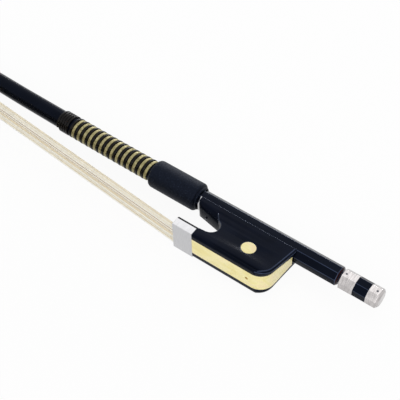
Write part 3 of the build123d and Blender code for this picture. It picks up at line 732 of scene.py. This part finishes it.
# %% Winding tree: a line with enough points, and the turns made at each
whole_line = {0: given["Turns"], 1: given["Points per turn"], 2: 1.0}
points = add(wind, maths, whole_line, operation="MULTIPLY_ADD")
line = add(wind, "GeometryNodeCurvePrimitiveLine", {"End": (1.0, 0.0, 0.0)})
fine_line = add(wind, "GeometryNodeResampleCurve", {"Curve": line, "Count": points})
done_share = add(wind, "GeometryNodeSplineParameter").outputs["Factor"]
turn = add(wind, maths, {0: done_share, 1: given["Turns"]}, operation="MULTIPLY")
angle = add(wind, maths, {0: turn, 1: 2 * math.pi}, operation="MULTIPLY")
cosine = add(wind, maths, {0: angle}, operation="COSINE")
sine = add(wind, maths, {0: angle}, operation="SINE")
print("a strand has", wind_sizes["Points per turn"], "points to the turn")

# %% Winding tree: how far along the stick
# Past the wide turns the pitch closes up evenly over one turn, and then stays close.
over = add(wind, maths, {0: turn, 1: given["Wide turns"]}, operation="SUBTRACT")
past = add(wind, maths, {0: over, 1: 0.0}, operation="MAXIMUM")
closing = add(wind, maths, {0: past, 1: 1.0}, operation="MINIMUM")
closed = add(wind, maths, {0: past, 1: closing}, operation="SUBTRACT")
squared = add(wind, maths, {0: closing, 1: closing}, operation="MULTIPLY")
lost_turns = add(wind, maths, {0: squared, 1: 0.5, 2: closed}, operation="MULTIPLY_ADD")
saved = add(wind, maths, {0: given["Pitch"], 1: given["Close pitch"]}, operation="SUBTRACT")
lost = add(wind, maths, {0: lost_turns, 1: saved}, operation="MULTIPLY")
wide_run = add(wind, maths, {0: given["Pitch"], 1: turn}, operation="MULTIPLY")
run = add(wind, maths, {0: wide_run, 1: lost}, operation="SUBTRACT")
along = add(wind, maths, {0: given["Back end"], 1: run}, operation="SUBTRACT")
print("wide turns are", round(wind_sizes["Pitch"] / mm, 2), "mm apart")

# %% Winding tree: round the cambered axis
# In front of the grip the axis rises as a large circle does, by half the distance squared over the
# radius.
before_grip = add(wind, maths, {0: given["Camber start"], 1: along}, operation="SUBTRACT")
ahead = add(wind, maths, {0: before_grip, 1: 0.0}, operation="MAXIMUM")
ahead_squared = add(wind, maths, {0: ahead, 1: ahead}, operation="MULTIPLY")
rise = add(wind, maths, {0: ahead_squared, 1: given["Camber radius"]}, operation="DIVIDE")
axis = add(wind, maths, {0: rise, 1: 0.5, 2: given["Axis Y"]}, operation="MULTIPLY_ADD")
around_y = {0: cosine, 1: given["Wind radius"], 2: axis}
around_z = {0: sine, 1: given["Wind radius"], 2: given["Axis Z"]}
helix_y = add(wind, maths, around_y, operation="MULTIPLY_ADD")
helix_z = add(wind, maths, around_z, operation="MULTIPLY_ADD")
on_helix = add(wind, "ShaderNodeCombineXYZ", {0: along, 1: helix_y, 2: helix_z})
outward = add(wind, "ShaderNodeCombineXYZ", {1: cosine, 2: sine})
bent = add(wind, "GeometryNodeSetPosition", {"Geometry": fine_line, "Position": on_helix})
upright = {"Curve": bent, "Normal": outward}
helix = add(wind, "GeometryNodeSetCurveNormal", upright, mode="FREE")
print("strands wind at a radius of", round(wind_sizes["Wind radius"] / mm, 2), "mm")

# %% Winding tree: the swept section
corner_points = 3
flat_side = {"Width": given["Strand height"], "Height": given["Strand width"]}
oblong = add(wind, "GeometryNodeCurvePrimitiveQuadrilateral", flat_side)
eased = {"Curve": oblong, "Radius": given["Edge radius"], "Count": corner_points}
section = add(wind, "GeometryNodeFilletCurve", eased, mode="POLY")
sweep = {"Curve": helix, "Profile Curve": section, "Fill Caps": True}
swept = add(wind, "GeometryNodeCurveToMesh", sweep)
smooth = add(wind, "GeometryNodeSetShadeSmooth", {0: swept})
whole = add(wind, "GeometryNodeRealizeInstances", {0: smooth})
finished = {"Geometry": whole, "Material": given["Finish"]}
add(wind, "NodeGroupOutput", {0: add(wind, "GeometryNodeSetMaterial", finished)})
print("nodes in the winding tree:", len(wind.nodes))

# %% [markdown]
# ## Tinsel and waxed strand
# The gold strand is gilt tinsel, a flat metal ribbon over thread. The black one is a round strand,
# twisted and waxed. Each fibre could be modelled, but fibres are far too fine for the picture, so
# a noise stands for them in colour and relief, and the wound shape does the rest.

# %% Finishes of the two strands
# The real fibres are under a tenth of a millimetre thick. They are drawn this coarse so that they
# show.
thread_size = 1.111 * mm
thread_height = 0.06 * mm
fibre_size = 0.7143 * mm
fibre_height = 0.05 * mm

# Gilt tinsel gives the eye an old greenish gold with small broken glints, only half metallic
# because thread shows between the metal.
tinsel, tree, shader, place = new_finish("gilt_tinsel", {"Metallic": 0.5, "Roughness": 0.42})
threads = add(tree, noise, {"Vector": place, "Scale": scale_for(thread_size), "Detail": 3.0})
tones = [(0.3, "#7F7750"), (0.55, "#A59C6E"), (0.75, "#C2B98C")]
ground = add(tree, ramp, {0: threads}, steps=tones)
bump = add(tree, "ShaderNodeBump", {"Strength": 0.4, "Distance": thread_height, "Height": threads})
join(tree, shader, {"Base Color": ground, "Normal": bump})

# Wax gives the eye a warm black with small lights on the crown of each turn.
waxed = {"Roughness": 0.2, "Specular IOR Level": 0.14}
black_thread, tree, shader, place = new_finish("black_waxed_strand", waxed)
fibres = add(tree, noise, {"Vector": place, "Scale": scale_for(fibre_size), "Detail": 3.0})
ground = add(tree, ramp, {0: fibres}, steps=[(0.35, "#050405"), (0.7, "#120D0C")])
bump = add(tree, "ShaderNodeBump", {"Strength": 0.5, "Distance": fibre_height, "Height": fibres})
join(tree, shader, {"Base Color": ground, "Normal": bump})
print("strand finishes:", tinsel.name, black_thread.name)

# %% Wind both strands
lapping_back = grip_low.x - 0.78 * mm
black_behind = 1.82 * mm
gold_turns = 13.75
wide_turns = 13.5
close_turns = 5.0
common = {**wind_sizes, "Camber start": grip_low.x, "Axis Y": axis_y, "Axis Z": axis_z}
gold_sizes = {**common, "Turns": gold_turns, "Back end": lapping_back}
black_sizes = {
    **common,
    "Turns": wide_turns + close_turns,
    "Wide turns": wide_turns,
    "Back end": lapping_back - black_behind,
    "Strand width": 1.34 * mm,
    "Strand height": 0.86 * mm,
    "Edge radius": 0.42 * mm,
}
gold = grown("gold_strand", wind, gold_sizes, tinsel)
black = grown("black_strand", wind, black_sizes, black_thread)
for strand, node in ((gold, "wrap_gold"), (black, "wrap_black")):
    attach(strand, "stick")
    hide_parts(node)
    print(strand.name, triangles(strand), "triangles")

# %% [markdown]
# ## Hair
# A bow carries some two hundred horse hairs in a flat band. They are tied in a knot in the head,
# come out of its mortise, run taut to the ferrule and turn up to a second knot in the frog. A hair
# system could grow them, but it wants a surface to grow from and the export has no use for it. One
# route down the middle of the band is enough: Geometry Nodes copies it once for each hair, and
# moves each copy sideways by its number. Each hair has three sides only, for there are hundreds.
# Fixed seeds keep the small disorder the same on every run.


# %% Middle line of the band
def turned_corners(route, reach, steps=4):
    """Rounds each corner by a short curve that starts and ends reach before and after it."""
    rounded = [route[0]]
    for before, corner, after in zip(route, route[1:], route[2:]):
        start = corner + (before - corner).normalized() * reach
        end = corner + (after - corner).normalized() * reach
        for k in range(steps + 1):
            t = k / steps
            rounded.append(start * (1 - t) ** 2 + corner * (2 * t * (1 - t)) + end * t**2)
    return rounded + [route[-1]]


def divided(points, longest):
    """Adds points so that no step is longer than this."""
    fine = [points[0]]
    for here, there in zip(points, points[1:]):
        count = max(1, math.ceil((there - here).length / longest))
        fine += [here.lerp(there, (k + 1) / count) for k in range(count)]
    return fine


def in_frame(x, y):
    """A point in the bow's middle plane, from millimetres."""
    return Vector((x * mm, y * mm, axis_z))


head_knot = in_frame(-338.84, 22.2)
head_exit = in_frame(-339.65, 14.56)
mouth = in_frame(262.07, -36.89)
narrow_place = in_frame(271.77, -35.39)
frog_turn = in_frame(277.97, -35.39)
frog_knot = in_frame(277.97, -31.7)
turn_reach = 0.9 * mm
longest_step = 24 * mm
hair_corners = [head_knot, head_exit, mouth, narrow_place, frog_turn, frog_knot]
route = divided(turned_corners(hair_corners, turn_reach), longest_step)
route_mesh = bpy.data.meshes.new("hair_route")
route_mesh.from_pydata(route, [(k, k + 1) for k in range(len(route) - 1)], [])
hair_run = (mouth - head_exit).length
print(len(route), "points, free hair", round(hair_run / mm, 1), "mm")

# %% Sizes of the band
hair_sizes = {
    "Hairs": 264,
    "Layers": 3,
    "Head width": 7.4 * mm,
    "Frog width": 15.4 * mm,
    "Layer gap": 0.22 * mm,
    "Hair radius": 0.1 * mm,
    "Head X": head_exit.x,
    "Spread X": 130.47 * mm,
    "Mouth X": mouth.x,
    "Narrow X": narrow_place.x,
    "Side disorder": 0.008,
    "Side seed": 4,
    "Layer disorder": 0.3,
    "Layer seed": 9,
    "Wander": 0.09 * mm,
    "Wanders per metre": 9.0,
    "Wander between hairs": 3.7,
    "Wander sideways": 5.0,
    "Head taper": 12 * mm,
    "Frog taper": 8 * mm,
    "Tone seed": 21,
    "Locks across": 7.0,
    "Brown above": 0.98,
    "Brown lock": 0.62,
    "Brown lock half": 0.012,
}
band, given = new_growth("hair_band", hair_sizes)
band.interface.new_socket("Route", in_out="INPUT", socket_type="NodeSocketGeometry")
band.interface.move(band.interface.items_tree["Route"], 0)
print("sizes of the band:", len(hair_sizes))

# %% Band tree: each hair's layer, and its share of the way across
line = add(band, "GeometryNodeMeshToCurve", {0: given["Route"]})
copies = {"Geometry": line, "Amount": given["Hairs"]}
copied = add(band, "GeometryNodeDuplicateElements", copies, domain="SPLINE")
number = copied.outputs["Duplicate Index"]
per_layer = add(band, maths, {0: given["Hairs"], 1: given["Layers"]}, operation="DIVIDE")
filled = add(band, maths, {0: number, 1: per_layer}, operation="DIVIDE")
layer = add(band, maths, {0: filled}, operation="FLOOR")
in_layer = add(band, maths, {0: number, 1: per_layer}, operation="MODULO")
in_middle = add(band, maths, {0: in_layer, 1: 0.5})
hair_share = add(band, maths, {0: in_middle, 1: per_layer}, operation="DIVIDE")
from_centre = add(band, maths, {0: hair_share, 1: 0.5}, operation="SUBTRACT")
side_low = add(band, maths, {0: given["Side disorder"], 1: -1.0}, operation="MULTIPLY")
side_range = {random_low: side_low, random_high: given["Side disorder"]}
side_draw = {**side_range, "ID": number, "Seed": given["Side seed"]}
jitter = add(band, "FunctionNodeRandomValue", side_draw).outputs[random_out]
side = add(band, maths, {0: from_centre, 1: jitter})
print("hairs to a layer:", hair_sizes["Hairs"] // hair_sizes["Layers"])

# %% Band tree: narrow at the head, full width in front of the frog
place = add(band, "GeometryNodeInputPosition")
x_here = add(band, "ShaderNodeSeparateXYZ", {0: place})
open_span = {"Value": x_here, "From Min": given["Head X"], "From Max": given["Spread X"]}
opening = add(band, "ShaderNodeMapRange", open_span)
close_span = {"Value": x_here, "From Min": given["Narrow X"], "From Max": given["Mouth X"]}
narrowing = add(band, "ShaderNodeMapRange", close_span)
spread = add(band, maths, {0: opening, 1: narrowing}, operation="MINIMUM")
gain = add(band, maths, {0: given["Frog width"], 1: given["Head width"]}, operation="SUBTRACT")
width = add(band, maths, {0: spread, 1: gain, 2: given["Head width"]}, operation="MULTIPLY_ADD")
across = add(band, maths, {0: side, 1: width}, operation="MULTIPLY")
print("band opens from", round(hair_sizes["Head width"] / mm, 1), "mm")

# %% Band tree: layers, one hair a little higher than the next
top_layer = add(band, maths, {0: given["Layers"], 1: 1.0}, operation="SUBTRACT")
middle_layer = add(band, maths, {0: top_layer, 1: 0.5}, operation="MULTIPLY")
from_middle = add(band, maths, {0: layer, 1: middle_layer}, operation="SUBTRACT")
layer_low = add(band, maths, {0: given["Layer disorder"], 1: -1.0}, operation="MULTIPLY")
layer_range = {random_low: layer_low, random_high: given["Layer disorder"]}
layer_draw = {**layer_range, "ID": number, "Seed": given["Layer seed"]}
lift = add(band, "FunctionNodeRandomValue", layer_draw).outputs[random_out]
lifted = add(band, maths, {0: from_middle, 1: lift})
height = add(band, maths, {0: lifted, 1: given["Layer gap"]}, operation="MULTIPLY")
print("layers are", round(hair_sizes["Layer gap"] / mm, 2), "mm apart")

# %% Band tree: hairs wander a little where they are free
free_start = add(band, maths, {0: given["Head X"], 1: given["Head taper"]})
free_end = add(band, maths, {0: given["Mouth X"], 1: given["Frog taper"]}, operation="SUBTRACT")
head_span = {"Value": x_here, "From Min": given["Head X"], "From Max": free_start}
after_head = add(band, "ShaderNodeMapRange", head_span)
frog_span = {"Value": x_here, "From Min": given["Mouth X"], "From Max": free_end}
before_frog = add(band, "ShaderNodeMapRange", frog_span)
loose = add(band, maths, {0: after_head, 1: before_frog}, operation="MULTIPLY")
own_path = add(band, maths, {0: number, 1: given["Wander between hairs"]}, operation="MULTIPLY")
waves = {"Vector": place, "W": own_path, "Scale": given["Wanders per metre"], "Detail": 1.0}
wave = add(band, noise, waves, noise_dimensions="4D")
centred = add(band, maths, {0: wave, 1: 0.5}, operation="SUBTRACT")
freed = add(band, maths, {0: centred, 1: loose}, operation="MULTIPLY")
drift = add(band, maths, {0: freed, 1: given["Wander"]}, operation="MULTIPLY")
drifted = {0: drift, 1: given["Wander sideways"], 2: across}
sideways = add(band, maths, drifted, operation="MULTIPLY_ADD")
outwards = add(band, maths, {0: height, 1: drift})
print("sideways a hair wanders", hair_sizes["Wander sideways"], "times as far as up and down")

# %% Band tree: move each copy
direction = add(band, "GeometryNodeInputTangent")
cross = {0: direction, 1: (0.0, 0.0, 1.0)}
face = add(band, "ShaderNodeVectorMath", cross, operation="CROSS_PRODUCT")
out = add(band, "ShaderNodeVectorMath", {0: face, "Scale": outwards}, operation="SCALE")
beside = add(band, "ShaderNodeCombineXYZ", {2: sideways})
offset = add(band, "ShaderNodeVectorMath", {0: out, 1: beside})
moved = add(band, "GeometryNodeSetPosition", {"Geometry": copied, "Offset": offset})
print("nodes so far:", len(band.nodes))

# %% Band tree: each hair's own tone, and the few brown ones
tone_draw = {random_low: 0.0, random_high: 1.0, "ID": number, "Seed": given["Tone seed"]}
own = add(band, "FunctionNodeRandomValue", tone_draw).outputs[random_out]
locks = {"W": side, "Scale": given["Locks across"], "Detail": 2.0}
lock = add(band, noise, locks, noise_dimensions="1D")
summed = add(band, maths, {0: own, 1: lock})
tone = add(band, maths, {0: summed, 1: 0.5}, operation="MULTIPLY")
own_brown = add(band, maths, {0: own, 1: given["Brown above"]}, operation="GREATER_THAN")
from_lock = add(band, maths, {0: hair_share, 1: given["Brown lock"]}, operation="SUBTRACT")
lock_gap = add(band, maths, {0: from_lock}, operation="ABSOLUTE")
in_lock = add(band, maths, {0: lock_gap, 1: given["Brown lock half"]}, operation="LESS_THAN")
brown = add(band, maths, {0: own_brown, 1: in_lock}, operation="MAXIMUM")
hairs = moved
for name, value in (("tone", tone), ("brown", brown)):
    stored = {"Geometry": hairs, "Name": name, "Value": value}
    hairs = add(band, "GeometryNodeStoreNamedAttribute", stored, data_type="FLOAT", domain="POINT")
print("a hair is brown above", hair_sizes["Brown above"], "of its own draw")

# %% Band tree: three-sided hairs
sides = {"Resolution": 3, "Radius": given["Hair radius"]}
section = add(band, "GeometryNodeCurvePrimitiveCircle", sides)
sweep = {"Curve": hairs, "Profile Curve": section, "Fill Caps": True}
swept = add(band, "GeometryNodeCurveToMesh", sweep)
smooth = add(band, "GeometryNodeSetShadeSmooth", {0: swept})
whole = add(band, "GeometryNodeRealizeInstances", {0: smooth})
finished = {"Geometry": whole, "Material": given["Finish"]}
add(band, "NodeGroupOutput", {0: add(band, "GeometryNodeSetMaterial", finished)})
print("nodes in the band's tree:", len(band.nodes))

# %% [markdown]
# ## Horsehair
# Horsehair is off-white to straw, each hair a little different, with a few brown ones. One colour
# for the whole band would look like tape, and a material for each hair would be hundreds. So the
# tree stored each hair's own tone, and one material turns that into colour.

# %% Finish of the hair
# A washed hair is a clear horny fibre. It gives the eye a soft shine along its length. Its real
# scales are hundredths of a millimetre long. They are drawn this coarse so that they show.
scale_size = 0.6667 * mm
scale_height = 0.02 * mm

horsehair, tree, shader, place = new_finish("horsehair", {"Roughness": 0.45})
tone = add(tree, "ShaderNodeAttribute", attribute_name="tone").outputs["Fac"]
brown = add(tree, "ShaderNodeAttribute", attribute_name="brown").outputs["Fac"]
tones = [(0.28, "#EDDAB2"), (0.45, "#FBF3DE"), (0.62, "#FFFDF4")]
straw = add(tree, ramp, {0: tone}, steps=tones)
stain = {mix_share: brown, mix_colour_a: straw, mix_colour_b: linear("#94683C")}
stained = add(tree, mix, stain, data_type="RGBA").outputs[mix_colour_out]
scales = add(tree, noise, {"Vector": place, "Scale": scale_for(scale_size), "Detail": 2.0})
bump = add(tree, "ShaderNodeBump", {"Strength": 0.1, "Distance": scale_height, "Height": scales})
join(tree, shader, {"Base Color": stained, "Normal": bump})
print(horsehair.name, "has", len(tree.nodes), "nodes")

# %% Grow the hair
hair = grown("bow_hair", band, hair_sizes, horsehair, route_mesh)
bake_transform(hair)
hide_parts("hair_ribbon", "hair_in_frog")
print("hair", triangles(hair), "triangles")
